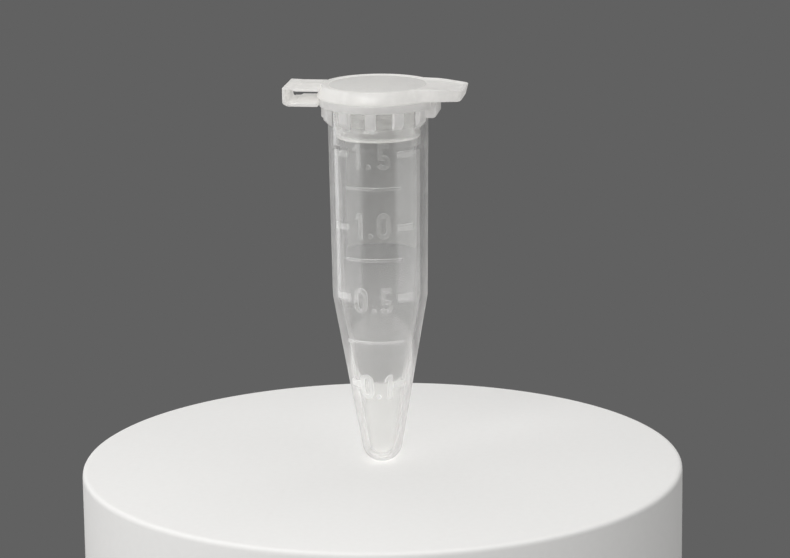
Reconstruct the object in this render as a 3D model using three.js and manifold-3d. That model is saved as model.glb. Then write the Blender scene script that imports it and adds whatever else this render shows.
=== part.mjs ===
// Microcentrifuge tube, 1.5 mL, with its snap cap closed.
// Millimetres. +Z runs up the axis and the origin is the tip. The cap's thumb tab points along +X,
// the hinge along -X, the graduations face -Y and the frosted writing panel faces +Y.
// The real tube is one moulding. Here its portions are separate solids that meet with a small clearance.
import * as THREE from 'three';
import { mergeVertices } from 'three/addons/utils/BufferGeometryUtils.js';
import Module from 'manifold-3d';

const wasm = await Module();
wasm.setup();

// Whole tube
const facets = 60;
const clearance = 0.02;
const wall = 0.8;

// Cone and barrel
const tipRadius = 2.24;
const coneHalfAngle = THREE.MathUtils.degToRad(9.85);
const coneTopZ = 18.9;
const barrelTopRadius = 5.4;
const barrelStraightZ = 37;
const boreStepZ = 35.4;
const boreStepHeight = 0.5;
const boreTaper = 0.1;
const mouthRadius = 4.62;

// Collar with its ribs and lug
const collarBottomZ = 39.9;
const collarTopZ = 40.8;
const collarRadius = 6.35;
const collarEdge = 0.12;
const ribCount = 12;
const ribWidth = 1.08;
const ribRadius = 6.12;
const ribBottomZ = 37.9;
const ribShoulderZ = 38.7;
const lugRadius = 6.62;
const lugWidth = 4;
const lugBottomZ = 38.8;
const lugChamfer = 0.35;

// Lid
const lidTopZ = 42.2;
const lidRadius = 6.5;
const lidTopRadius = 6;
const lidSkirt = 0.25;
const lidEdge = 0.07; // small bevel on its edges
const recessRadius = 5.5;
const recessDepth = 0.1;
const panelRadius = 5.3;
const panelThickness = 0.05;

// Thumb tab
const tabReach = 9.6;
const tabRootX = 4.4;
const tabRootHalfWidth = 4.9;
const tabFlankX = 7;
const tabFlankHalfWidth = 3.6;
const tabTipHalfWidth = 2.55;
const tabCorner = 0.95;
const tabRootThickness = 1.32;
const tabTipThickness = 1.15;
const tabDroop = 0.25;

// Hollow plug under the lid
const plugInnerRadius = 4;
const plugRootRadius = 4.53;
const plugRootBottomZ = 39.45;
const lipRadius = 4.58;
const lipBottomZ = 36.5;
const lipEdge = 0.2;
const lipBandHeight = 1;
const lipTaperTop = 1.4;

// Folded hinge strap
const strapThickness = 0.3;
const strapHalfWidth = 3;
const strapEndX = -9.95;
const lowerCreaseZ = 40.2;
const upperCreaseZ = 41.85;

// Raised marks on the barrel and cone
const markHeight = 0.1;
const lineHalfWidth = 3;
const lineThickness = 0.33;
const lineHeights = { line_1_25: 31.64, line_0_75: 23.8, line_0_30: 14.45 };
const tickThickness = 0.7;
const tickStart = 29;
const tickEnd = 51;
const tickHeights = { tick_1_5: 35.3, tick_1_0: 27.3, tick_0_5: 19.6, tick_0_1: 9.55 };
const stroke = 0.48;
const digitHeight = 2.8;
const zeroWidth = 1.5;
const dotRadius = 0.28;
const flagReach = 0.36; // the one's flag, from its stem
const flagDrop = 0.5;
const flagThickness = 0.4;
const flagInnerDrop = 0.62;
const fiveHalfWidth = 0.56;
const fiveBowl = 0.78;
const fiveStemFoot = 0.26;

// Frosted writing panel
const panelHalfAngle = 60;
const panelBottomZ = 23.5;
const panelTopZ = 37.4;
const frostThickness = 0.05;

const creaseX = strapEndX + strapThickness / 2;
const lidBottomZ = collarTopZ + clearance;
const barrelBottomRadius = outerConeRadius(coneTopZ);
const innerTipRadius = tipRadius - wall;

const colours = {
  clear: { color: 0xb9bcbf, roughness: 0.25 },
  milky: { color: 0xe2e2e0, roughness: 0.4 },
  frosted: { color: 0xcfd0cf, roughness: 0.8 },
};

// Radii of the outer and inner wall at a height
function outerConeRadius(z) {
  return tipRadius / Math.cos(coneHalfAngle) + (z - tipRadius) * Math.tan(coneHalfAngle);
}

function innerConeRadius(z) {
  return innerTipRadius / Math.cos(coneHalfAngle) + (z - tipRadius) * Math.tan(coneHalfAngle);
}

// Geometry helpers
function toSolid(geometry) {
  const bare = geometry.clone();
  bare.deleteAttribute('normal');
  bare.deleteAttribute('uv');
  const merged = mergeVertices(bare, 1e-5);
  const vertProperties = new Float32Array(merged.attributes.position.array);
  const triVerts = new Uint32Array(merged.index.array);
  return new wasm.Manifold(new wasm.Mesh({ numProp: 3, vertProperties, triVerts }));
}

function toGeometry(solid) {
  const mesh = solid.getMesh();
  const geometry = new THREE.BufferGeometry();
  geometry.setAttribute('position', new THREE.BufferAttribute(mesh.vertProperties, mesh.numProp));
  geometry.setIndex(new THREE.BufferAttribute(mesh.triVerts, 1));
  geometry.computeVertexNormals();
  return geometry;
}

function turned(profile) {
  const points = profile.map(([r, z]) => new THREE.Vector2(r, z));
  return new THREE.LatheGeometry(points, facets).rotateX(Math.PI / 2);
}

function ring(innerRadius, outerRadius, bottomZ, topZ) {
  return turned([
    [innerRadius, bottomZ],
    [outerRadius, bottomZ],
    [outerRadius, topZ],
    [innerRadius, topZ],
    [innerRadius, bottomZ],
  ]);
}

function outline(points) {
  return new THREE.Shape(points.map(([x, y]) => new THREE.Vector2(x, y)));
}

function plate(shape, bottomZ, topZ) {
  const options = { depth: topZ - bottomZ, bevelEnabled: false, curveSegments: 6 };
  return new THREE.ExtrudeGeometry(shape, options).translate(0, 0, bottomZ);
}

// A side view in X and Z, as thick as width along Y
function sideCut(points, width) {
  const options = { depth: width, bevelEnabled: false };
  const geometry = new THREE.ExtrudeGeometry(outline(points), options);
  return geometry.rotateX(Math.PI / 2).translate(0, width / 2, 0);
}

function block(minimum, maximum) {
  const low = new THREE.Vector3(...minimum);
  const size = new THREE.Vector3(...maximum).sub(low);
  const centre = low.clone().addScaledVector(size, 0.5);
  return new THREE.BoxGeometry(size.x, size.y, size.z).translate(centre.x, centre.y, centre.z);
}

// Points on an arc about (x, y), from one angle to another in degrees
function arcPoints(x, y, radius, from, to, steps) {
  const points = [];
  for (let i = 0; i <= steps; i += 1) {
    const angle = THREE.MathUtils.degToRad(from + ((to - from) * i) / steps);
    points.push([x + radius * Math.cos(angle), y + radius * Math.sin(angle)]);
  }
  return points;
}

const group = new THREE.Group();

function addPart(name, geometry, finish) {
  const material = new THREE.MeshStandardMaterial({ metalness: 0, ...colours[finish] });
  const mesh = new THREE.Mesh(geometry, material);
  mesh.name = name;
  group.add(mesh);
}

// Conical bottom with a round tip, open at the top
function coneGeometry() {
  const tangentAngle = -THREE.MathUtils.radToDeg(coneHalfAngle);
  const outerTip = arcPoints(0, tipRadius, tipRadius, -90, tangentAngle, 7);
  const innerTip = arcPoints(0, tipRadius, innerTipRadius, tangentAngle, -90, 5);
  outerTip[0][0] = 0;
  innerTip[innerTip.length - 1][0] = 0;
  const topZ = coneTopZ - clearance;
  return turned([...outerTip, [outerConeRadius(topZ), topZ], [innerConeRadius(topZ), topZ], ...innerTip]);
}

// Straight upper wall. The bore opens a little where the cap's plug seats.
function barrelGeometry() {
  const topZ = collarBottomZ - clearance;
  const innerBottom = innerConeRadius(coneTopZ);
  const innerTop = barrelTopRadius - wall - boreTaper;
  return turned([
    [innerBottom, coneTopZ],
    [barrelBottomRadius, coneTopZ],
    [barrelTopRadius, barrelStraightZ],
    [barrelTopRadius, topZ],
    [mouthRadius, topZ],
    [mouthRadius, boreStepZ + boreStepHeight],
    [innerTop, boreStepZ],
    [innerBottom, coneTopZ],
  ]);
}

// Flange that the lid closes on
function collarGeometry() {
  return turned([
    [mouthRadius, collarBottomZ],
    [collarRadius - collarEdge, collarBottomZ],
    [collarRadius, collarBottomZ + collarEdge],
    [collarRadius, collarTopZ - collarEdge],
    [collarRadius - collarEdge, collarTopZ],
    [mouthRadius + collarEdge, collarTopZ],
    [mouthRadius, collarTopZ - collarEdge],
    [mouthRadius, collarBottomZ],
  ]);
}

// Short ribs under the collar, evenly spaced, with the lug in the place of the one at +X
function addRibs() {
  const inner = barrelTopRadius + clearance;
  const topZ = collarBottomZ - clearance;
  const ribRing = toSolid(turned([
    [inner, ribBottomZ],
    [inner + clearance, ribBottomZ],
    [ribRadius, ribShoulderZ],
    [ribRadius, topZ],
    [inner, topZ],
    [inner, ribBottomZ],
  ]));
  for (let i = 1; i < ribCount; i += 1) {
    const slab = block([0, -ribWidth / 2, ribBottomZ - 1], [collarRadius + 1, ribWidth / 2, collarTopZ]);
    slab.rotateZ((i * 2 * Math.PI) / ribCount);
    addPart(`collar_rib_${String(i).padStart(2, '0')}`, toGeometry(ribRing.intersect(toSolid(slab))), 'milky');
  }
}

// Lug under the thumb tab, wrapped round the collar's edge
function lugGeometry() {
  const inner = barrelTopRadius + clearance;
  const body = toSolid(turned([
    [inner, lugBottomZ],
    [lugRadius - lugChamfer, lugBottomZ],
    [lugRadius, lugBottomZ + lugChamfer],
    [lugRadius, collarTopZ],
    [inner, collarTopZ],
    [inner, lugBottomZ],
  ]));
  const slab = toSolid(block([0, -lugWidth / 2, lugBottomZ - 1], [lugRadius + 1, lugWidth / 2, collarTopZ + 1]));
  const collarSpace = toSolid(
    ring(mouthRadius - 1, collarRadius + clearance, collarBottomZ - clearance, collarTopZ + 1),
  );
  return toGeometry(body.intersect(slab).subtract(collarSpace));
}

// Side of the lid, from its bottom edge to its rim, moved out by an offset
function lidSide(offset) {
  return [
    [lidRadius - lidEdge + offset, lidBottomZ],
    [lidRadius + offset, lidBottomZ + lidEdge],
    [lidRadius + offset, lidBottomZ + lidSkirt],
    [lidTopRadius + offset, lidTopZ - lidEdge],
    [lidTopRadius - lidEdge + offset, lidTopZ],
  ];
}

function lidGeometry() {
  const floorZ = lidTopZ - recessDepth;
  return turned([
    [0, lidBottomZ],
    ...lidSide(0),
    [recessRadius + recessDepth, lidTopZ],
    [recessRadius, floorZ],
    [0, floorZ],
  ]);
}

function lidSpace() {
  return toSolid(turned([
    [0, lidBottomZ - 1],
    [lidRadius + clearance, lidBottomZ - 1],
    ...lidSide(clearance),
    [lidTopRadius, lidTopZ + 1],
    [0, lidTopZ + 1],
  ]));
}

// Frosted disc on the lid's top
function lidPanelGeometry() {
  const bottomZ = lidTopZ - recessDepth + clearance;
  const shape = new THREE.Shape();
  shape.absarc(0, 0, panelRadius, 0, 2 * Math.PI);
  const options = { depth: panelThickness, bevelEnabled: false, curveSegments: facets / 2 };
  return new THREE.ExtrudeGeometry(shape, options).translate(0, 0, bottomZ);
}

// Tapered thumb tab with rounded corners and a tip that hangs a little
function tabGeometry() {
  const tip = tabTipHalfWidth - tabCorner;
  const plan = outline([
    [0, tabRootHalfWidth],
    [0, -tabRootHalfWidth],
    [tabRootX, -tabRootHalfWidth],
    [tabFlankX, -tabFlankHalfWidth],
    ...arcPoints(tabReach - tabCorner, -tip, tabCorner, -55, 0, 4),
    ...arcPoints(tabReach - tabCorner, tip, tabCorner, 0, 55, 4),
    [tabFlankX, tabFlankHalfWidth],
    [tabRootX, tabRootHalfWidth],
  ]);
  const tipTopZ = lidTopZ - tabDroop;
  const side = sideCut([
    [0, lidTopZ - tabRootThickness],
    [tabRootX, lidTopZ - tabRootThickness],
    [tabReach + 1, tipTopZ - tabTipThickness],
    [tabReach + 1, tipTopZ],
    [lidTopRadius, lidTopZ],
    [0, lidTopZ],
  ], 4 * tabRootHalfWidth);
  const body = toSolid(plate(plan, lidBottomZ - 1, lidTopZ + 1)).intersect(toSolid(side));
  return toGeometry(body.subtract(lidSpace()));
}

// Stiff root of the plug, then the thin lip that presses on the bore
function plugRootGeometry() {
  return ring(plugInnerRadius, plugRootRadius, plugRootBottomZ, lidBottomZ - clearance);
}

function sealLipGeometry() {
  const topZ = plugRootBottomZ - clearance;
  return turned([
    [plugInnerRadius, lipBottomZ],
    [lipRadius - lipEdge, lipBottomZ],
    [lipRadius, lipBottomZ + lipEdge],
    [lipRadius, lipBottomZ + lipBandHeight],
    [plugRootRadius, lipBottomZ + lipTaperTop],
    [plugRootRadius, topZ],
    [plugInnerRadius, topZ],
    [plugInnerRadius, lipBottomZ],
  ]);
}

// One leg of the strap, from the collar or lid out to its crease
function strapGeometry(creaseZ, space) {
  const half = strapThickness / 2;
  const leg = block(
    [creaseX + half + clearance, -strapHalfWidth, creaseZ - half],
    [-mouthRadius, strapHalfWidth, creaseZ + half],
  );
  return toGeometry(toSolid(leg).subtract(space));
}

// End of the fold between the two creases: a strip with round edges
function linkGeometry() {
  const half = strapThickness / 2;
  return sideCut([
    ...arcPoints(creaseX, upperCreaseZ, half, 0, 180, 8),
    ...arcPoints(creaseX, lowerCreaseZ, half, 180, 360, 8),
  ], 2 * strapHalfWidth);
}

// Raised marks follow the outer wall of the barrel and cone
function markShell(height) {
  const wallAt = (offset) => [
    [outerConeRadius(tipRadius) + offset, tipRadius],
    [barrelBottomRadius + offset, coneTopZ],
    [barrelTopRadius + offset, barrelStraightZ],
    [barrelTopRadius + offset, ribBottomZ - clearance],
  ];
  const inner = wallAt(clearance);
  return toSolid(turned([inner[0], ...wallAt(clearance + height), ...inner.reverse()]));
}

const shell = markShell(markHeight);

// A band between two angles, in degrees to the right of -Y, and between two heights
function bandCutter(from, to, bottomZ, topZ) {
  const reach = barrelTopRadius + 2;
  const points = arcPoints(0, 0, reach, from - 90, to - 90, 8);
  return toSolid(plate(outline([[0, 0], ...points]), bottomZ, topZ));
}

function addLines() {
  for (const [name, z] of Object.entries(lineHeights)) {
    const radius = z > coneTopZ ? barrelTopRadius : outerConeRadius(z);
    const halfAngle = THREE.MathUtils.radToDeg(Math.asin(lineHalfWidth / radius));
    const cutter = bandCutter(-halfAngle, halfAngle, z - lineThickness / 2, z + lineThickness / 2);
    addPart(name, toGeometry(shell.intersect(cutter)), 'milky');
  }
}

function addTicks() {
  for (const [name, z] of Object.entries(tickHeights)) {
    const bottomZ = z - tickThickness / 2;
    const topZ = z + tickThickness / 2;
    const left = bandCutter(-tickEnd, -tickStart, bottomZ, topZ);
    const right = bandCutter(tickStart, tickEnd, bottomZ, topZ);
    addPart(`${name}_left`, toGeometry(shell.intersect(left)), 'milky');
    addPart(`${name}_right`, toGeometry(shell.intersect(right)), 'milky');
  }
}

// Plain condensed numerals, centred on x and standing on y = 0
function oneShape() {
  const half = stroke / 2;
  return outline([
    [half, 0],
    [half, digitHeight],
    [-half, digitHeight],
    [-half - flagReach, digitHeight - flagDrop],
    [-half - flagReach, digitHeight - flagDrop - flagThickness],
    [-half, digitHeight - flagInnerDrop],
    [-half, 0],
  ]);
}

function stadium(halfWidth, inset) {
  const radius = halfWidth - inset;
  return [
    ...arcPoints(0, digitHeight - halfWidth, radius, 0, 180, 12),
    ...arcPoints(0, halfWidth, radius, 180, 360, 12),
  ];
}

function zeroShape() {
  const shape = outline(stadium(zeroWidth / 2, 0));
  shape.holes.push(new THREE.Path(outline(stadium(zeroWidth / 2, stroke)).getPoints().reverse()));
  return shape;
}

function fiveShape() {
  const left = -fiveHalfWidth;
  const stem = left + stroke;
  return outline([
    [fiveHalfWidth, digitHeight],
    [left, digitHeight],
    [left, fiveBowl + fiveStemFoot],
    ...arcPoints(0, fiveBowl, fiveBowl - stroke, 120, -150, 10),
    ...arcPoints(0, fiveBowl, fiveBowl, -150, 95, 14),
    [stem, digitHeight - stroke],
    [fiveHalfWidth, digitHeight - stroke],
  ]);
}

function dotShape() {
  return outline(arcPoints(0, dotRadius, dotRadius, 0, 345, 23));
}

const glyphs = { 0: zeroShape(), 1: oneShape(), 5: fiveShape(), dot: dotShape() };

// Each figure stands at a height, with its glyphs at angles to the right of -Y
const figures = {
  mark_1_5: { z: 33.75, glyphs: [['1', -15.5], ['dot', -4], ['5', 13]] },
  mark_1_0: { z: 26.2, glyphs: [['1', -14.5], ['dot', -2.6], ['0', 13]] },
  mark_0_5: { z: 17.9, glyphs: [['0', -15.5], ['dot', 0], ['5', 14.5]] },
  mark_0_1: { z: 7.9, glyphs: [['0', -18], ['dot', 3], ['1', 22.5]] },
};

function addFigures() {
  for (const [name, figure] of Object.entries(figures)) {
    figure.glyphs.forEach(([glyph, angle], index) => {
      const cutter = plate(glyphs[glyph], 1, barrelTopRadius + 2).rotateX(Math.PI / 2);
      cutter.translate(0, 0, figure.z).rotateZ(THREE.MathUtils.degToRad(angle));
      addPart(`${name}_${index + 1}_${glyph}`, toGeometry(shell.intersect(toSolid(cutter))), 'milky');
    });
  }
}

// Etched patch on the back of the barrel
function frostedPanelGeometry() {
  const cutter = bandCutter(180 - panelHalfAngle, 180 + panelHalfAngle, panelBottomZ, panelTopZ);
  return toGeometry(markShell(frostThickness).intersect(cutter));
}

addPart('tube_cone', coneGeometry(), 'clear');
addPart('tube_barrel', barrelGeometry(), 'clear');
addPart('collar', collarGeometry(), 'milky');
addRibs();
addPart('collar_lug', lugGeometry(), 'milky');
addPart('frosted_panel', frostedPanelGeometry(), 'frosted');
addLines();
addTicks();
addFigures();

const collarSpace = toSolid(
  ring(mouthRadius - 1, collarRadius + clearance, collarBottomZ - 1, collarTopZ + 1),
);
addPart('hinge_lower_leg', strapGeometry(lowerCreaseZ, collarSpace), 'milky');
addPart('hinge_link', linkGeometry(), 'milky');
addPart('hinge_upper_leg', strapGeometry(upperCreaseZ, lidSpace()), 'milky');

addPart('lid_disc', lidGeometry(), 'milky');
addPart('lid_tab', tabGeometry(), 'milky');
addPart('lid_writing_panel', lidPanelGeometry(), 'frosted');
addPart('plug_root', plugRootGeometry(), 'milky');
addPart('seal_lip', sealLipGeometry(), 'milky');

export default group;
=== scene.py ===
import math
import bmesh
import bpy
from mathutils import Matrix, Vector


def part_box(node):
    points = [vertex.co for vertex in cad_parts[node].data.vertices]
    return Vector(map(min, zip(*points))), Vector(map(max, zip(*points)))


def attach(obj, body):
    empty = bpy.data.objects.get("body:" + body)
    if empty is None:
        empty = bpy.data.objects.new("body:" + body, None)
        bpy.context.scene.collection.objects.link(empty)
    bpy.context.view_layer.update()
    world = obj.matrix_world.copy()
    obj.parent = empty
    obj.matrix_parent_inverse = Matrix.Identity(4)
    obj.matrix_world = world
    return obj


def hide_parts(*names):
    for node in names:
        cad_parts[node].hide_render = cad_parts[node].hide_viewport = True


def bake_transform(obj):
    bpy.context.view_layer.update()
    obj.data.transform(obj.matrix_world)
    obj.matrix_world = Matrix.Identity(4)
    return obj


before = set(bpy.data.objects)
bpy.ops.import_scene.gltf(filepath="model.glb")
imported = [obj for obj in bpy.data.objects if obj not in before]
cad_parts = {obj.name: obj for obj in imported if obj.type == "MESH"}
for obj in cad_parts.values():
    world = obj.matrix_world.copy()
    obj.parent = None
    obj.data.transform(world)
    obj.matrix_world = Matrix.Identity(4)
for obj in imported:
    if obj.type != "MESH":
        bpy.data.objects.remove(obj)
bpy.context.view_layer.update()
print("frame loaded:", len(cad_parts), "nodes")

# pieces are drawn in millimetres and brought to metres when they are finished
toMetres = 0.001
weldDistance = 0.0005


def nodeBox(name):
    low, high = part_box(name)
    return low / toMetres, high / toMetres


barrelLow, barrelHigh = nodeBox("tube_barrel")
collarLow, collarHigh = nodeBox("collar")
lugLow, lugHigh = nodeBox("collar_lug")
lidLow, lidHigh = nodeBox("lid_disc")
tabHigh = nodeBox("lid_tab")[1]
lipLow, lipHigh = nodeBox("seal_lip")
linkLow, linkHigh = nodeBox("hinge_link")
patchLow, patchHigh = nodeBox("frosted_panel")
panelHigh = nodeBox("lid_writing_panel")[1]


# camera

def aimCamera():
    view = {
        "pitch": 13.4,       # degrees down
        "roll": -0.7,
        "turn": 8.0,         # the tube is turned a little, so that its tab comes forward
        "distance": 359.6,
        "lens": 150.4,
        "aim": (1.62, 20.54),  # right of the axis and above the tip
    }
    turn = math.radians(view["turn"])
    pitch = math.radians(view["pitch"])
    side, height = view["aim"]
    right = Vector((math.cos(turn), math.sin(turn), 0))
    away = Vector((-math.sin(turn), math.cos(turn), 0))
    forward = away * math.cos(pitch) - Vector((0, 0, math.sin(pitch)))
    place = right * side + Vector((0, 0, height)) - forward * view["distance"]
    deselectAll()
    bpy.ops.object.camera_add(location=place * toMetres)
    camera = bpy.context.active_object
    facing = forward.to_track_quat("-Z", "Y").to_matrix().to_4x4()
    roll = Matrix.Rotation(math.radians(view["roll"]), 4, "Z")
    camera.rotation_euler = (facing @ roll).to_euler()
    camera.data.lens = view["lens"]
    camera.data.clip_start = 0.01
    camera.data.clip_end = 10
    bpy.context.scene.camera = camera


# small helpers

def deselectAll():
    if bpy.context.mode != "OBJECT":
        bpy.ops.object.mode_set(mode="OBJECT")
    bpy.ops.object.select_all(action="DESELECT")


def activate(piece):
    deselectAll()
    piece.select_set(True)
    bpy.context.view_layer.objects.active = piece


def roundCorners(points, steps=4):
    # points are (x, z, corner radius); a corner with a radius becomes a short curve
    path = []
    for i, (x, z, radius) in enumerate(points):
        corner = Vector((x, z))
        if not radius:
            path.append(corner)
            continue
        before = Vector(points[i - 1][:2]) - corner
        after = Vector(points[i + 1][:2]) - corner
        cut = radius / math.tan(before.angle(after) / 2)
        first = corner + before.normalized() * min(cut, 0.49 * before.length)
        last = corner + after.normalized() * min(cut, 0.49 * after.length)
        for k in range(steps + 1):
            t = k / steps
            path.append(first * (1 - t) ** 2 + corner * 2 * t * (1 - t) + last * t * t)
    return path


def arc(x, z, radius, start, end, steps):
    angles = [math.radians(start + (end - start) * k / steps) for k in range(steps + 1)]
    return [Vector((x + radius * math.cos(a), z + radius * math.sin(a))) for a in angles]


def startPiece(name):
    deselectAll()
    bpy.ops.mesh.primitive_plane_add(size=1)
    piece = bpy.context.active_object
    piece.name = name
    piece.data.name = name
    bpy.ops.object.mode_set(mode="EDIT")
    bpy.ops.mesh.select_mode(type="VERT")
    bpy.ops.mesh.delete(type="VERT")
    return piece


def drawChain(path):
    # one vertex, extruded from point to point
    bpy.ops.mesh.primitive_plane_add(size=1)
    bpy.ops.mesh.merge(type="CENTER")
    bpy.ops.transform.translate(value=path[0])
    for here, there in zip(path, path[1:]):
        bpy.ops.mesh.extrude_vertices_move(TRANSFORM_OT_translate={"value": there - here})


def upright(points):
    # flat (x, z) points stood up in the XZ plane
    return [Vector((p[0], 0, p[1])) for p in points]


def cleanShell():
    bpy.ops.mesh.select_all(action="SELECT")
    bpy.ops.mesh.remove_doubles(threshold=weldDistance)
    bpy.ops.mesh.normals_make_consistent(inside=False)


def fillLoops(holed=False):
    # closes what was drawn so far with one face
    bpy.ops.mesh.select_all(action="SELECT")
    bpy.ops.mesh.remove_doubles(threshold=weldDistance)
    if holed:
        bpy.ops.mesh.fill(use_beauty=True)
    else:
        bpy.ops.mesh.edge_face_add()


def turnPiece(name, path, steps=128):
    piece = startPiece(name)
    drawChain(upright(path))
    bpy.ops.mesh.select_all(action="SELECT")
    bpy.ops.mesh.spin(steps=steps, angle=math.tau, center=(0, 0, 0), axis=(0, 0, 1))
    cleanShell()
    bpy.ops.object.mode_set(mode="OBJECT")
    return piece


def applyModifiers(piece):
    activate(piece)
    for modifier in list(piece.modifiers):
        bpy.ops.object.modifier_apply(modifier=modifier.name)


def combine(piece, tool, operation, keepTool=False):
    joint = piece.modifiers.new("combine", "BOOLEAN")
    joint.operation = operation
    joint.solver = "EXACT"
    joint.object = tool
    applyModifiers(piece)
    if not keepTool:
        bpy.data.objects.remove(tool)


def softenEdges(piece, width, angle=35, segments=2):
    bevel = piece.modifiers.new("soft edges", "BEVEL")
    bevel.width = width
    bevel.segments = segments
    bevel.limit_method = "ANGLE"
    bevel.angle_limit = math.radians(angle)
    applyModifiers(piece)


def boxPiece(name, low, high):
    deselectAll()
    low, high = Vector(low), Vector(high)
    bpy.ops.mesh.primitive_cube_add(size=1, location=(low + high) / 2, scale=high - low)
    piece = bpy.context.active_object
    piece.name = name
    bpy.ops.object.transform_apply(location=True, rotation=True, scale=True)
    return piece


def pickWhere(piece, kind, chosen):
    # in edit mode: selects the verts, edges or faces whose corners all satisfy chosen
    bpy.ops.mesh.select_mode(type=kind)
    bpy.ops.mesh.select_all(action="DESELECT")
    shape = bmesh.from_edit_mesh(piece.data)
    if kind == "VERT":
        for vert in shape.verts:
            vert.select = chosen(vert.co)
    else:
        for part in shape.edges if kind == "EDGE" else shape.faces:
            part.select = all(chosen(v.co) for v in part.verts)
    shape.select_flush_mode()
    bmesh.update_edit_mesh(piece.data)


def bevelEdgesAt(piece, chosen, width, segments):
    activate(piece)
    bpy.ops.object.mode_set(mode="EDIT")
    pickWhere(piece, "EDGE", chosen)
    bpy.ops.mesh.bevel(offset=width, segments=segments, profile=0.5)
    bpy.ops.object.mode_set(mode="OBJECT")


def finish(piece, material, smoothAngle=32):
    activate(piece)
    piece.scale = (toMetres, toMetres, toMetres)
    bpy.ops.object.transform_apply(location=True, rotation=True, scale=True)
    bpy.ops.object.shade_smooth_by_angle(angle=math.radians(smoothAngle))
    piece.data.materials.clear()
    piece.data.materials.append(material)
    return piece


# materials

def colour(hexValue):
    parts = [int(hexValue[i:i + 2], 16) / 255 for i in (0, 2, 4)]
    linear = [p / 12.92 if p <= 0.04045 else ((p + 0.055) / 1.055) ** 2.4 for p in parts]
    return (*linear, 1)


def addNode(tree, kind, settings=None, inputs=None):
    node = tree.nodes.new(kind)
    for key, value in (settings or {}).items():
        setattr(node, key, value)
    for key, value in (inputs or {}).items():
        if isinstance(value, bpy.types.NodeSocket):
            tree.links.new(value, node.inputs[key])
        else:
            node.inputs[key].default_value = value
    return node


plastic = {
    "index": 1.49,
    "flow": (0.3, 0.7),             # what the noise of the flow marks mostly stays within
    "patchiness": (0.85, 1.15),     # and what it multiplies the haze by
    "flowDepth": 0.02,
}


def polypropylene(name, look):
    # Natural polypropylene: see-through in a thin wall, with a milky haze that grows with thickness
    # and where the wall is seen edge on. Moulded against polished steel, so it shines.
    material = bpy.data.materials.new(name)
    material.use_nodes = True
    tree = material.node_tree
    tree.nodes.clear()
    place = addNode(tree, "ShaderNodeTexCoord").outputs["Object"]
    # flow marks of the melt, a few millimetres long
    flow = addNode(tree, "ShaderNodeTexNoise", inputs={
        "Vector": place, "Scale": 1 / (look["flowSize"] * toMetres),
        "Detail": 3.0, "Roughness": 0.55}).outputs["Fac"]
    facing = addNode(tree, "ShaderNodeLayerWeight", inputs={"Blend": look["edgeBlend"]}).outputs["Facing"]
    haze = addNode(tree, "ShaderNodeMapRange", inputs={
        "Value": facing, "From Min": 0.2, "From Max": 1.0,
        "To Min": look["haze"], "To Max": look["edgeHaze"]}).outputs["Result"]
    height = addNode(tree, "ShaderNodeSeparateXYZ", inputs={"Vector": place}).outputs["Z"]
    flat = addNode(tree, "ShaderNodeVectorMath", {"operation": "MULTIPLY"}, {0: place, 1: (1, 1, 0)})
    radius = addNode(tree, "ShaderNodeVectorMath", {"operation": "LENGTH"}, {
        0: flat.outputs["Vector"]}).outputs["Value"]
    # each band adds its gain of haze between two heights or radii, for a thicker wall; on the tube's wall
    # the gain towards the tip is partly painted light, from the white floor below
    for measure, start, end, gain in look["bands"]:
        bandGain = addNode(tree, "ShaderNodeMapRange", inputs={
            "Value": height if measure == "height" else radius,
            "From Min": start * toMetres, "From Max": end * toMetres, "To Min": 0.0, "To Max": gain})
        haze = addNode(tree, "ShaderNodeMath", {"operation": "ADD", "use_clamp": True}, {
            0: haze, 1: bandGain.outputs["Result"]}).outputs["Value"]
    patchy = addNode(tree, "ShaderNodeMapRange", inputs={
        "Value": flow, "From Min": plastic["flow"][0], "From Max": plastic["flow"][1],
        "To Min": plastic["patchiness"][0], "To Max": plastic["patchiness"][1]})
    haze = addNode(tree, "ShaderNodeMath", {"operation": "MULTIPLY", "use_clamp": True}, {
        0: haze, 1: patchy.outputs["Result"]}).outputs["Value"]
    bump = addNode(tree, "ShaderNodeBump", inputs={
        "Strength": look["bump"], "Distance": plastic["flowDepth"] * toMetres,
        "Height": flow}).outputs["Normal"]
    clear = addNode(tree, "ShaderNodeBsdfPrincipled", inputs={
        "Base Color": colour(look["clearColour"]), "Roughness": look["roughness"],
        "IOR": plastic["index"], "Transmission Weight": 1.0, "Normal": bump})
    milk = addNode(tree, "ShaderNodeBsdfPrincipled", inputs={
        "Base Color": colour(look["milkColour"]), "Roughness": look["shine"],
        "IOR": plastic["index"], "Normal": bump})
    glow = addNode(tree, "ShaderNodeBsdfTranslucent", inputs={"Color": colour(look["milkColour"])})
    body = addNode(tree, "ShaderNodeMixShader", inputs={
        0: look["glow"], 1: milk.outputs["BSDF"], 2: glow.outputs["BSDF"]})
    wall = addNode(tree, "ShaderNodeMixShader", inputs={
        0: haze, 1: clear.outputs["BSDF"], 2: body.outputs["Shader"]})
    # lamps reach through the thin wall, so that the inside is lit
    shadow = addNode(tree, "ShaderNodeLightPath").outputs["Is Shadow Ray"]
    through = addNode(tree, "ShaderNodeMath", {"operation": "MULTIPLY"}, {0: shadow, 1: look["passes"]})
    passing = addNode(tree, "ShaderNodeBsdfTransparent")
    lit = addNode(tree, "ShaderNodeMixShader", inputs={
        0: through.outputs["Value"], 1: wall.outputs["Shader"], 2: passing.outputs["BSDF"]})
    addNode(tree, "ShaderNodeOutputMaterial", inputs={"Surface": lit.outputs["Shader"]})
    return material


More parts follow.
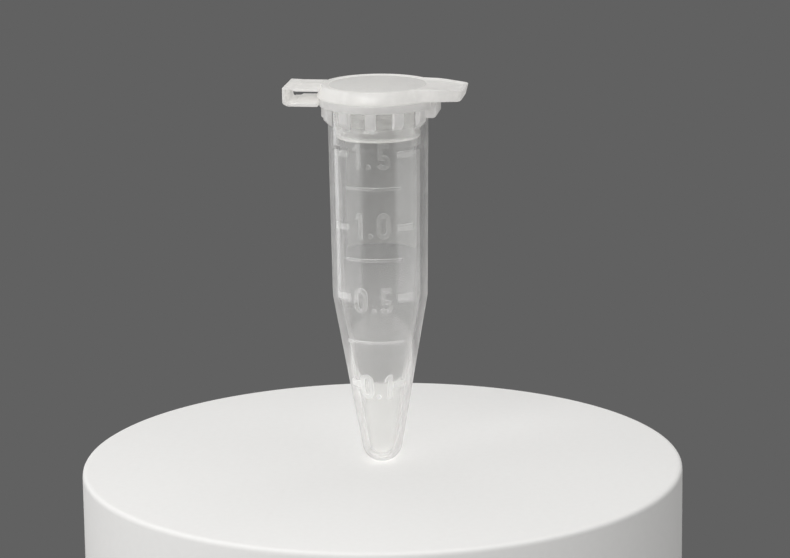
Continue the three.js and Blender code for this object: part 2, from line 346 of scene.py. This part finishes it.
# the tube's thin wall: nearly clear face on, whiter at its edges, in the collar and towards the tip; the
# whitening towards the tip is partly its thicker cone and partly painted light from the white floor below
clearWall = polypropylene("natural polypropylene wall", {
    "haze": 0.068, "edgeHaze": 0.72, "edgeBlend": 0.35, "glow": 0.45, "roughness": 0.06, "shine": 0.25,
    "bump": 0.2, "flowSize": 4, "passes": 0.85, "clearColour": "FCFCFB", "milkColour": "EFEEED",
    "bands": [("radius", 5.42, 5.6, 0.68), ("height", 30, 12, 0.05), ("height", 23.5, 20, 0.04)]})
# a skin of 0.13 mm on the wall, which shows mostly by its edges
raisedMark = polypropylene("natural polypropylene raised figures", {
    "haze": 0.055, "edgeHaze": 0.75, "edgeBlend": 0.5, "glow": 0.3, "roughness": 0.05, "shine": 0.2,
    "bump": 0.1, "flowSize": 4, "passes": 0.9, "clearColour": "FCFCFB", "milkColour": "F7F7F6",
    "bands": [("height", 26, 20, 0.06), ("height", 14, 10, 0.23)]})
# the cap is solid plastic, so it is milky; its plug is a thin wall again, with a milky lip
thickMilky = polypropylene("natural polypropylene cap", {
    "haze": 0.17, "edgeHaze": 0.55, "edgeBlend": 0.35, "glow": 0.4, "roughness": 0.12, "shine": 0.35,
    "bump": 0.2, "flowSize": 3, "passes": 0.6, "clearColour": "FCFCFB", "milkColour": "F4F3F1",
    "bands": [("height", 39.9, 40.9, 0.7), ("height", 36.95, 36.6, 0.8)]})
# the strap is seen along its width, which makes it nearly white
strapSkin = polypropylene("natural polypropylene strap", {
    "haze": 0.82, "edgeHaze": 0.9, "edgeBlend": 0.35, "glow": 0.4, "roughness": 0.15, "shine": 0.4,
    "bump": 0.12, "flowSize": 3, "passes": 0.6, "clearColour": "FCFCFB", "milkColour": "F6F5F3",
    "bands": []})
# etched steel leaves a fine matt grain, here on the see-through wall
frostedSkin = polypropylene("etched polypropylene", {
    "haze": 0.02, "edgeHaze": 0.2, "edgeBlend": 0.3, "glow": 0.5, "roughness": 0.35, "shine": 0.7,
    "bump": 0.6, "flowSize": 0.4, "passes": 0.85, "clearColour": "F7F7F6", "milkColour": "D2D0CE",
    "bands": []})
# and here on the milky cap
etchedCap = polypropylene("etched polypropylene cap", {
    "haze": 0.5, "edgeHaze": 0.7, "edgeBlend": 0.3, "glow": 0.3, "roughness": 0.5, "shine": 0.75,
    "bump": 0.5, "flowSize": 0.4, "passes": 0.8, "clearColour": "FCFCFB", "milkColour": "D1D0CE",
    "bands": []})
print("materials made")


# tube: one moulded shell with its collar, ribs and lug

tube = {
    "tipRadius": 2.24,
    "wall": 0.8,
    "coneAngle": 9.85,      # degrees off upright
    "coneTop": barrelLow.z,
    "shoulder": 3,          # rounding between cone and barrel
    "draftTop": 37,         # the barrel widens up to here
    "radiusTop": barrelHigh.x,
    "bore": 4.5,
    "mouth": 4.62,          # the bore is wider above its step, as the plug's seat
    "boreStep": 35.4,
    "stepHeight": 0.5,
    "rooted": 0.3,          # ribs and lug start this deep in the wall
    "ribWidth": 1.08,
    "ribBottom": 37.9,
    "ribReach": 6.12,
    "ribTop": collarLow.z + 0.2,
    "ribCorner": 0.7,
    "ribEdge": 0.1,
    "ribCount": 12,
    "lugTop": lugHigh.z - 0.05,
    "lugCorner": 0.5,
    "lugEdge": 0.2,
}


def coneRadius(z, tipRadius):
    angle = math.radians(tube["coneAngle"])
    return tipRadius / math.cos(angle) + (z - tube["tipRadius"]) * math.tan(angle)


def wallRadius(z):
    coneTop = tube["coneTop"]
    if z <= coneTop:
        return coneRadius(z, tube["tipRadius"])
    share = min((z - coneTop) / (tube["draftTop"] - coneTop), 1)
    bottom = coneRadius(coneTop, tube["tipRadius"])
    return bottom + (tube["radiusTop"] - bottom) * share


def makeTube():
    tip = tube["tipRadius"]
    inside = tip - tube["wall"]
    coneTop, shoulder = tube["coneTop"], tube["shoulder"]
    boreStep, mouth = tube["boreStep"], tube["mouth"]
    outer = arc(0, tip, tip, -90, -tube["coneAngle"], 12)
    inner = arc(0, tip, inside, -tube["coneAngle"], -90, 10)
    outer[0].x = 0
    inner[-1].x = 0
    rest = roundCorners([
        (outer[-1].x, outer[-1].y, 0),
        (wallRadius(coneTop), coneTop, shoulder),
        (tube["radiusTop"], tube["draftTop"], 0),
        (tube["radiusTop"], collarLow.z, 0.15),
        (collarHigh.x, collarLow.z, 0.12),
        (collarHigh.x, collarHigh.z, 0.15),
        (mouth, collarHigh.z, 0.2),
        (mouth, boreStep + tube["stepHeight"], 0.3),
        (tube["bore"], boreStep, 0.3),
        (coneRadius(coneTop, inside), coneTop, shoulder),
        (inner[0].x, inner[0].y, 0),
    ], steps=6)
    return turnPiece("tube_shell", outer[:-1] + rest[:-1] + inner)


def makeRibs():
    # one rib, its lower outer corner rounded, copied round the collar
    ribs = []
    wall, bottom, half = tube["radiusTop"], tube["ribBottom"], tube["ribWidth"] / 2
    first = boxPiece("rib", (wall - tube["rooted"], -half, bottom), (tube["ribReach"], half, tube["ribTop"]))
    bevelEdgesAt(first, lambda p: p.x > wall and p.z < bottom + 0.1, tube["ribCorner"], 1)
    for i in range(1, tube["ribCount"]):
        rib = first.copy()
        rib.data = first.data.copy()
        bpy.context.collection.objects.link(rib)
        rib.rotation_euler.z = i * math.tau / tube["ribCount"]
        ribs.append(rib)
    bpy.data.objects.remove(first)
    deselectAll()
    for rib in ribs:
        rib.select_set(True)
    bpy.context.view_layer.objects.active = ribs[0]
    bpy.ops.object.transform_apply(location=True, rotation=True, scale=True)
    bpy.ops.object.join()
    ring = bpy.context.active_object
    softenEdges(ring, tube["ribEdge"], angle=30)
    return ring


def makeLug():
    wall = tube["radiusTop"]
    lug = boxPiece("lug", (wall - tube["rooted"], lugLow.y, lugLow.z),
                   (lugHigh.x, lugHigh.y, tube["lugTop"]))
    bevelEdgesAt(lug, lambda p: p.x > wall and p.z < lugLow.z + 0.1, tube["lugCorner"], 7)
    softenEdges(lug, tube["lugEdge"], segments=3)
    return lug


tubeShell = makeTube()
combine(tubeShell, makeRibs(), "UNION")
combine(tubeShell, makeLug(), "UNION")
finish(tubeShell, clearWall)
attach(tubeShell, "tube")
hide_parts("tube_cone", "tube_barrel", "collar", "collar_lug",
            *[f"collar_rib_{i:02d}" for i in range(1, tube["ribCount"])])
print("tube shell made")


# raised marks and the writing patch

def bandPiece(name, start, end, bottom, top, band):
    # a strip on the wall, from one angle to another in degrees to the right of -Y
    lift, height = band["lift"], band["height"]
    path = [
        Vector((wallRadius(bottom) + lift, bottom)),
        Vector((wallRadius(bottom) + lift + height, bottom)),
        Vector((wallRadius(top) + lift + height, top)),
        Vector((wallRadius(top) + lift, top)),
    ]
    piece = startPiece(name)
    drawChain(upright(path + path[:1]))
    fillLoops()
    bpy.ops.object.mode_set(mode="OBJECT")
    piece.rotation_euler.z = math.radians(start - 90)
    bpy.ops.object.transform_apply(location=True, rotation=True, scale=True)
    bpy.ops.object.mode_set(mode="EDIT")
    bpy.ops.mesh.select_all(action="SELECT")
    bpy.ops.mesh.spin(steps=max(4, round((end - start) / 3)), angle=math.radians(start - end),
                      center=(0, 0, 0), axis=(0, 0, 1))
    cleanShell()
    bpy.ops.object.mode_set(mode="OBJECT")
    softenEdges(piece, band["softness"])
    return piece


marks = {
    "lift": 0.004,          # kept clear of the wall by this much
    "height": 0.13,
    "softness": 0.035,
    "lineHalfWidth": 3.0,
    "tickStart": 29,        # degrees to the side of -Y
    "tickEnd": 51,
    "stroke": 0.48,
    "digitHeight": 2.8,
    "flag": 0.36,           # reach of the one's flag
    "flagDrop": (0.5, 0.9, 0.62),
    "zeroHalfWidth": 0.75,
    "fiveSides": (-0.55, 0.58),
    "fiveBowl": 0.78,
    "fiveStemFoot": 0.26,
    "dotRadius": 0.28,
}


def placeOnWall(piece, node, name):
    finish(piece, raisedMark, smoothAngle=20)
    piece.name = name
    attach(piece, "tube")
    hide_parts(node)


def makeLinesAndTicks():
    for node in sorted(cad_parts):
        if node.startswith("line_"):
            low, high = nodeBox(node)
            reach = math.degrees(math.asin(marks["lineHalfWidth"] / wallRadius(low.z)))
            start, end = -reach, reach
        elif node.startswith("tick_"):
            low, high = nodeBox(node)
            side = -1 if node.endswith("left") else 1
            start, end = sorted((side * marks["tickStart"], side * marks["tickEnd"]))
        else:
            continue
        piece = bandPiece(node, start, end, low.z, high.z, marks)
        placeOnWall(piece, node, "raised_" + node)


def oneOutline():
    half, tall = marks["stroke"] / 2, marks["digitHeight"]
    flag = half + marks["flag"]
    tip, heel, root = marks["flagDrop"]
    return [[(half, 0), (half, tall), (-half, tall), (-flag, tall - tip),
             (-flag, tall - heel), (-half, tall - root), (-half, 0)]]


def zeroOutline():
    half, tall = marks["zeroHalfWidth"], marks["digitHeight"]
    loops = []
    for radius in (half, half - marks["stroke"]):
        loops.append(arc(0, tall - half, radius, 0, 180, 16) + arc(0, half, radius, 180, 360, 16))
    return loops


def fiveOutline():
    tall, bowl, stroke = marks["digitHeight"], marks["fiveBowl"], marks["stroke"]
    left, right = marks["fiveSides"]
    hook = arc(0, bowl, bowl - stroke, 120, -150, 14) + arc(0, bowl, bowl, -150, 95, 22)
    return [[(right, tall), (left, tall), (left, bowl + marks["fiveStemFoot"]), *hook,
             (left + stroke, tall - stroke), (right, tall - stroke)]]


def dotOutline():
    radius = marks["dotRadius"]
    return [arc(0, radius, radius, 0, 345, 23)]


outlines = {"1": oneOutline, "0": zeroOutline, "5": fiveOutline, "dot": dotOutline}


def makeGlyph(name, glyph, angle, bottom, shell):
    # a flat outline, extruded through the wall's surface and cut to a thin skin of it
    piece = startPiece(name)
    for loop in outlines[glyph]():
        bpy.ops.mesh.select_all(action="DESELECT")
        drawChain(upright(loop + loop[:1]))
    fillLoops(holed=glyph == "0")
    through = 2
    bpy.ops.transform.translate(value=(0, -through, 0))
    bpy.ops.mesh.extrude_region_move(TRANSFORM_OT_translate={"value": (0, 2 * through, 0)})
    cleanShell()
    bpy.ops.object.mode_set(mode="OBJECT")
    turn = math.radians(angle)
    radius = wallRadius(bottom)
    piece.rotation_euler.z = turn
    piece.location = (radius * math.sin(turn), -radius * math.cos(turn), bottom)
    bpy.ops.object.transform_apply(location=True, rotation=True, scale=True)
    combine(piece, shell, "INTERSECT", keepTool=True)
    # in triangles first, or the notch under a flag is filled when the edges are softened
    bpy.ops.object.mode_set(mode="EDIT")
    bpy.ops.mesh.select_all(action="SELECT")
    bpy.ops.mesh.quads_convert_to_tris(quad_method="BEAUTY", ngon_method="BEAUTY")
    bpy.ops.object.mode_set(mode="OBJECT")
    softenEdges(piece, marks["softness"])
    return piece


def makeFigures():
    heights = [tube["tipRadius"], tube["coneTop"], tube["draftTop"], tube["ribBottom"] - 0.1]
    low = [Vector((wallRadius(z) + marks["lift"], z)) for z in heights]
    high = [Vector((wallRadius(z) + marks["lift"] + marks["height"], z)) for z in heights]
    shell = turnPiece("mark_skin", low + high[::-1] + low[:1])
    for node in sorted(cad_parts):
        if not node.startswith("mark_"):
            continue
        low, high = nodeBox(node)
        middle = (low + high) / 2
        glyph = node.split("_")[-1]
        if glyph == "1":
            # its stem stands to the right of its box's middle
            middle.x += marks["flag"] / 2
        angle = math.degrees(math.atan2(middle.x, -middle.y))
        piece = makeGlyph(node, glyph, angle, low.z, shell)
        placeOnWall(piece, node, "raised_" + node)
    bpy.data.objects.remove(shell)


makeLinesAndTicks()
makeFigures()
print("raised marks made")

patch = {"start": 120, "end": 240, "lift": 0.004, "height": 0.04, "softness": 0.01}
writingPatch = bandPiece("writing_patch", patch["start"], patch["end"], patchLow.z, patchHigh.z, patch)
finish(writingPatch, frostedSkin)
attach(writingPatch, "tube")
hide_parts("frosted_panel")
print("writing patch made")


# lid with its plug and thumb tab

lid = {
    "topRadius": 6.0,
    "skirt": 0.25,          # height of the straight edge under the flared side
    "border": 0.42,         # raised border, runs on round the tab
    "borderSlope": 0.12,
    "recessDepth": 0.1,
    "underside": 41.05,
    "softness": 0.07,
    "tabSpread": 42,        # degrees each side of +X where the tab leaves the disc
    "tabFlank": (7.0, 3.6),
    "tabTip": 2.55,         # half width
    "tabCorner": 0.95,
    "tabThickness": 1.3,
    "tipLean": 0.93,
    "tipDraft": 0.2,
    "bendFrom": 6.1,        # past here the tab hangs a little
    "bend": 4.1,            # degrees
}

plug = {
    "inner": 4.0,
    "root": 4.53,
    "buried": 0.1,          # starts this deep in the disc
    "ringInner": 3.7,       # drawn thicker inwards, then trimmed by the hollow
    "rootStart": 0.15,      # under the disc
    "rootEnd": 1.6,         # this and what follows are heights above the plug's lower end
    "neck": 1.35,
    "neckDepth": 0.07,
    "lip": (0.4, 1.0),
    "lead": 0.2,            # the lip's lower edge slopes in by this much
}


def lidOutline():
    # disc and tab in one outline, seen from above
    reach, tip, corner = tabHigh.x, lid["tabTip"], lid["tabCorner"]
    disc = arc(0, 0, lid["topRadius"], lid["tabSpread"], 180, 60)[::-1]
    flank = roundCorners([
        (*disc[-1], 0), (*lid["tabFlank"], 1.5), (reach, tip, corner), (reach, 0, 0)], steps=8)
    side = disc + flank[1:]
    mirrored = [Vector((p.x, -p.y)) for p in side[1:-1]]
    return side + mirrored[::-1]


def onDisc(point):
    # a little slack on both limits takes in the flared rim and the corners with the tab
    fromTab = abs(math.degrees(math.atan2(point.y, point.x)))
    return math.hypot(point.x, point.y) < lid["topRadius"] + 0.55 and fromTab > lid["tabSpread"] - 0.5


def makeLid():
    top, bottom, wide = lidHigh.z, lidLow.z, lidHigh.x
    piece = startPiece("lid")
    outline = [Vector((p.x, p.y, top)) for p in lidOutline()]
    drawChain(outline + outline[:1])
    fillLoops()
    # the side flares out to the rim, then drops straight for the skirt
    bpy.ops.mesh.extrude_region_move(TRANSFORM_OT_translate={"value": (0, 0, bottom + lid["skirt"] - top)})
    rimHeight = bottom + lid["skirt"] + 0.01
    pickWhere(piece, "VERT", lambda p: p.z < rimHeight and onDisc(p))
    flare = wide / lid["topRadius"]
    bpy.ops.transform.resize(value=(flare, flare, 1), center_override=(0, 0, 0))
    pickWhere(piece, "VERT", lambda p: p.z < rimHeight)
    bpy.ops.mesh.select_mode(type="FACE")
    bpy.ops.mesh.extrude_region_move(TRANSFORM_OT_translate={"value": (0, 0, -lid["skirt"])})
    # the tab is thinner than the disc
    pickWhere(piece, "VERT", lambda p: p.z < bottom + 0.01 and not onDisc(p))
    bpy.ops.transform.translate(value=(0, 0, top - bottom - lid["tabThickness"]))
    # its tip leans back towards the underside
    tipStart, draft = tabHigh.x - lid["tabCorner"] - 0.1, lid["tipDraft"]
    pickWhere(piece, "VERT", lambda p: p.z < rimHeight and p.x > tipStart)
    bpy.ops.transform.resize(value=(1, lid["tipLean"], 1), center_override=(0, 0, 0))
    pickWhere(piece, "VERT", lambda p: p.z < bottom + 0.4 and p.x > tipStart)
    bpy.ops.transform.translate(value=(-draft, 0, 0))
    pickWhere(piece, "VERT", lambda p: p.z < top - lid["tabThickness"] + 0.01 and p.x > tipStart - draft)
    bpy.ops.transform.translate(value=(-draft, 0, 0))
    bpy.ops.mesh.select_all(action="SELECT")
    bpy.ops.mesh.normals_make_consistent(inside=False)
    pickWhere(piece, "FACE", lambda p: p.z > top - 0.01)
    bpy.ops.mesh.inset(thickness=lid["border"], use_even_offset=True)
    bpy.ops.mesh.inset(thickness=lid["borderSlope"], depth=-lid["recessDepth"], use_even_offset=True)
    bpy.ops.object.mode_set(mode="OBJECT")
    bendTab(piece)
    softenEdges(piece, lid["softness"], angle=28, segments=3)
    combine(piece, makePlug(), "UNION")
    combine(piece, makePlugHollow(), "DIFFERENCE")
    return piece


def bendTab(piece):
    activate(piece)
    bpy.ops.object.mode_set(mode="EDIT")
    bpy.ops.mesh.select_all(action="SELECT")
    start = lid["bendFrom"]
    bpy.ops.mesh.bisect(plane_co=(start, 0, 0), plane_no=(1, 0, 0))
    pickWhere(piece, "VERT", lambda p: p.x > start + 0.001)
    # with no window, rotate turns the other way
    bpy.ops.transform.rotate(value=math.radians(-lid["bend"]), orient_axis="Y",
                             center_override=(start, 0, lidHigh.z))
    bpy.ops.object.mode_set(mode="OBJECT")


def makePlug():
    bottom, lip = lipLow.z, lipHigh.x
    root, inner, top = plug["root"], plug["ringInner"], lidLow.z + plug["buried"]
    lipBottom, lipTop = plug["lip"]
    return turnPiece("plug", roundCorners([
        (inner, top, 0),
        (root + 0.1, top, 0),
        (root, lidLow.z - plug["rootStart"], 0.05),
        (root, bottom + plug["rootEnd"], 0.4),
        (root - plug["neckDepth"], bottom + plug["neck"], 0.1),
        (lip, bottom + lipTop, 0.3),
        (lip, bottom + lipBottom, 0.3),
        (lip - plug["lead"], bottom, 0.12),
        (inner, bottom, 0),
        (inner, top, 0),
    ]))


def makePlugHollow():
    # opens a little at its lower end
    inner, bottom, top = plug["inner"], lipLow.z, lid["underside"]
    return turnPiece("plug_hollow", roundCorners([
        (0, bottom - 0.5, 0),
        (inner + 0.3, bottom - 0.5, 0),
        (inner + 0.12, bottom + 0.02, 0.05),
        (inner, bottom + 0.25, 0.1),
        (inner, top, 0.4),
        (0, top, 0),
    ]))


lidPiece = makeLid()
finish(lidPiece, thickMilky)
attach(lidPiece, "lid")
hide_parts("lid_disc", "lid_tab", "plug_root", "seal_lip")


def makeLidPanel():
    # a thin disc on the floor of the recess, its edge rounded off
    radius, floor = panelHigh.x, lidHigh.z - lid["recessDepth"]
    low, middle, high = floor + 0.002, floor + 0.02, floor + 0.03
    return turnPiece("lid_panel", [Vector(p) for p in (
        (0, low), (radius - 0.05, low), (radius - 0.06, middle), (radius - 0.1, high), (0, high))])


lidPanel = makeLidPanel()
finish(lidPanel, etchedCap)
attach(lidPanel, "lid")
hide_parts("lid_writing_panel")
print("lid made")


# folded hinge strap, in two halves that each bend at a crease

strap = {
    "narrowFrom": -9.4,
    "narrowShare": 0.93,
    "lowerEnd": -6.1,       # inside the collar
    "upperEnd": -5.9,       # inside the lid
    "lowerTop": 40.45,      # upper face of the lower leg
    "seam": 0.85,           # the two halves meet this far above the lower crease
    "seamGap": 0.002,
    "thinning": 0.16,       # both legs are thinner next to the fold
    "thinFrom": -8.85,
    "thinTo": -8.55,
    "bulge": 0.12,          # the fold stands a little proud of the upper leg
    "bulgeEnd": -8.7,
    "softness": 0.06,
    "bend": 0.25,           # half the length over which a crease bends
}


def makeStrap(name, points):
    # its closed side view, drawn across from one edge to the other
    piece = startPiece(name)
    half = linkHigh.y
    section = [Vector((p.x, -half, p.y)) for p in roundCorners(points, steps=8)]
    drawChain(section + section[:1])
    fillLoops()
    for _ in range(6):
        bpy.ops.mesh.extrude_region_move(TRANSFORM_OT_translate={"value": (0, half / 3, 0)})
    # the end of the fold is a little narrower than the legs
    pickWhere(piece, "VERT", lambda p: p.x < strap["narrowFrom"])
    bpy.ops.transform.resize(value=(1, strap["narrowShare"], 1), center_override=(0, 0, 0))
    cleanShell()
    bpy.ops.object.mode_set(mode="OBJECT")
    softenEdges(piece, strap["softness"], angle=50)
    return piece


halfThickness = (linkHigh.x - linkLow.x) / 2
lowerZ = linkLow.z + halfThickness


def makeLowerStrap():
    outer, inner, bottom = linkLow.x, linkHigh.x, linkLow.z
    end, top, seam = strap["lowerEnd"], strap["lowerTop"], lowerZ + strap["seam"] - strap["seamGap"]
    thinTop = top - strap["thinning"]
    return makeStrap("strap_lower", [
        (end, bottom, 0), (outer, bottom, 0.85), (outer, seam, 0), (inner, seam, 0), (inner, thinTop, 0.25),
        (strap["thinFrom"], thinTop, 0.1), (strap["thinTo"], top, 0.2), (end, top, 0)])


def makeUpperStrap():
    outer, inner, top = linkLow.x, linkHigh.x, linkHigh.z
    end, bottom, seam = strap["upperEnd"], top - 2 * halfThickness, lowerZ + strap["seam"] + strap["seamGap"]
    thinBottom = bottom + strap["thinning"]
    return makeStrap("strap_upper", [
        (outer, seam, 0), (outer, top + strap["bulge"], 0.22), (strap["bulgeEnd"], top, 0.3), (end, top, 0),
        (end, bottom, 0), (strap["thinTo"], bottom, 0.2), (strap["thinFrom"], thinBottom, 0.1),
        (inner, thinBottom, 0.12), (inner, seam, 0)])


lowerStrap = makeLowerStrap()
upperStrap = makeUpperStrap()
finish(lowerStrap, strapSkin)
finish(upperStrap, strapSkin)
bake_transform(lowerStrap)
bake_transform(upperStrap)
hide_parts("hinge_lower_leg", "hinge_link")
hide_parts("hinge_upper_leg")
print("hinge made")


# stage: a round pale plinth, a grey studio and soft lamps

foam = {"light": "F5F4F2", "dark": "F0EFED", "grain": 2 / 3, "grainDepth": 0.05, "bump": 0.15}


def floorMaterial():
    # moulded foam: a matt white with a fine grain, which only just shows
    material = bpy.data.materials.new("matt white foam")
    material.use_nodes = True
    tree = material.node_tree
    shader = tree.nodes["Principled BSDF"]
    place = addNode(tree, "ShaderNodeTexCoord").outputs["Object"]
    grain = addNode(tree, "ShaderNodeTexNoise", inputs={
        "Vector": place, "Scale": 1 / (foam["grain"] * toMetres), "Detail": 4.0}).outputs["Fac"]
    # on a colour mix, sockets 6 and 7 are its colours and 2 is its result
    tint = addNode(tree, "ShaderNodeMix", {"data_type": "RGBA"}, {
        "Factor": grain, 6: colour(foam["light"]), 7: colour(foam["dark"])})
    bump = addNode(tree, "ShaderNodeBump", inputs={
        "Strength": foam["bump"], "Distance": foam["grainDepth"] * toMetres, "Height": grain})
    shader.inputs["Roughness"].default_value = 0.9
    tree.links.new(tint.outputs[2], shader.inputs["Base Color"])
    tree.links.new(bump.outputs["Normal"], shader.inputs["Normal"])
    return material


def makeStage():
    plinth = {"radius": 33, "height": 70, "edge": 0.6}
    floor = turnPiece("floor", roundCorners([
        (0, -plinth["height"], 0), (plinth["radius"], -plinth["height"], 0),
        (plinth["radius"], 0, plinth["edge"]), (0, 0, 0)]))
    activate(floor)
    floor.scale = (toMetres, toMetres, toMetres)
    bpy.ops.object.transform_apply(location=True, rotation=True, scale=True)
    bpy.ops.object.shade_smooth_by_angle(angle=math.radians(30))
    floor.data.materials.append(floorMaterial())


def softLamp(name, place, size, power):
    deselectAll()
    place = Vector(place) * toMetres
    bpy.ops.object.light_add(type="AREA", location=place)
    lamp = bpy.context.active_object
    lamp.name = name
    lamp.data.shape = "RECTANGLE"
    lamp.data.size, lamp.data.size_y = (s * toMetres for s in size)
    lamp.data.energy = power
    target = Vector((0, 0, 20)) * toMetres
    lamp.rotation_euler = (target - place).to_track_quat("-Z", "Y").to_euler()
    lamp.visible_camera = False


def makeStudio():
    scene = bpy.context.scene
    world = bpy.data.worlds.new("studio")
    scene.world = world
    world.use_nodes = True
    world.node_tree.nodes["Background"].inputs["Color"].default_value = colour("616161")
    scene.view_settings.view_transform = "Standard"
    # the camera looks down a little, so the upright wall mirrors only what is low: the two side boxes
    softLamp("left softbox", (-288, -140, 40), (340, 300), 0.33)
    softLamp("right softbox", (315, -56, 40), (340, 300), 0.28)
    softLamp("rim softbox", (-285, 145, 60), (200, 300), 0.1)
    # high boxes only light the milkiness of the plastic
    softLamp("front softbox", (-80, -360, 240), (260, 160), 1.05)
    softLamp("top softbox", (0, 60, 330), (300, 300), 0.58)


aimCamera()
makeStage()
makeStudio()
print("stage made")
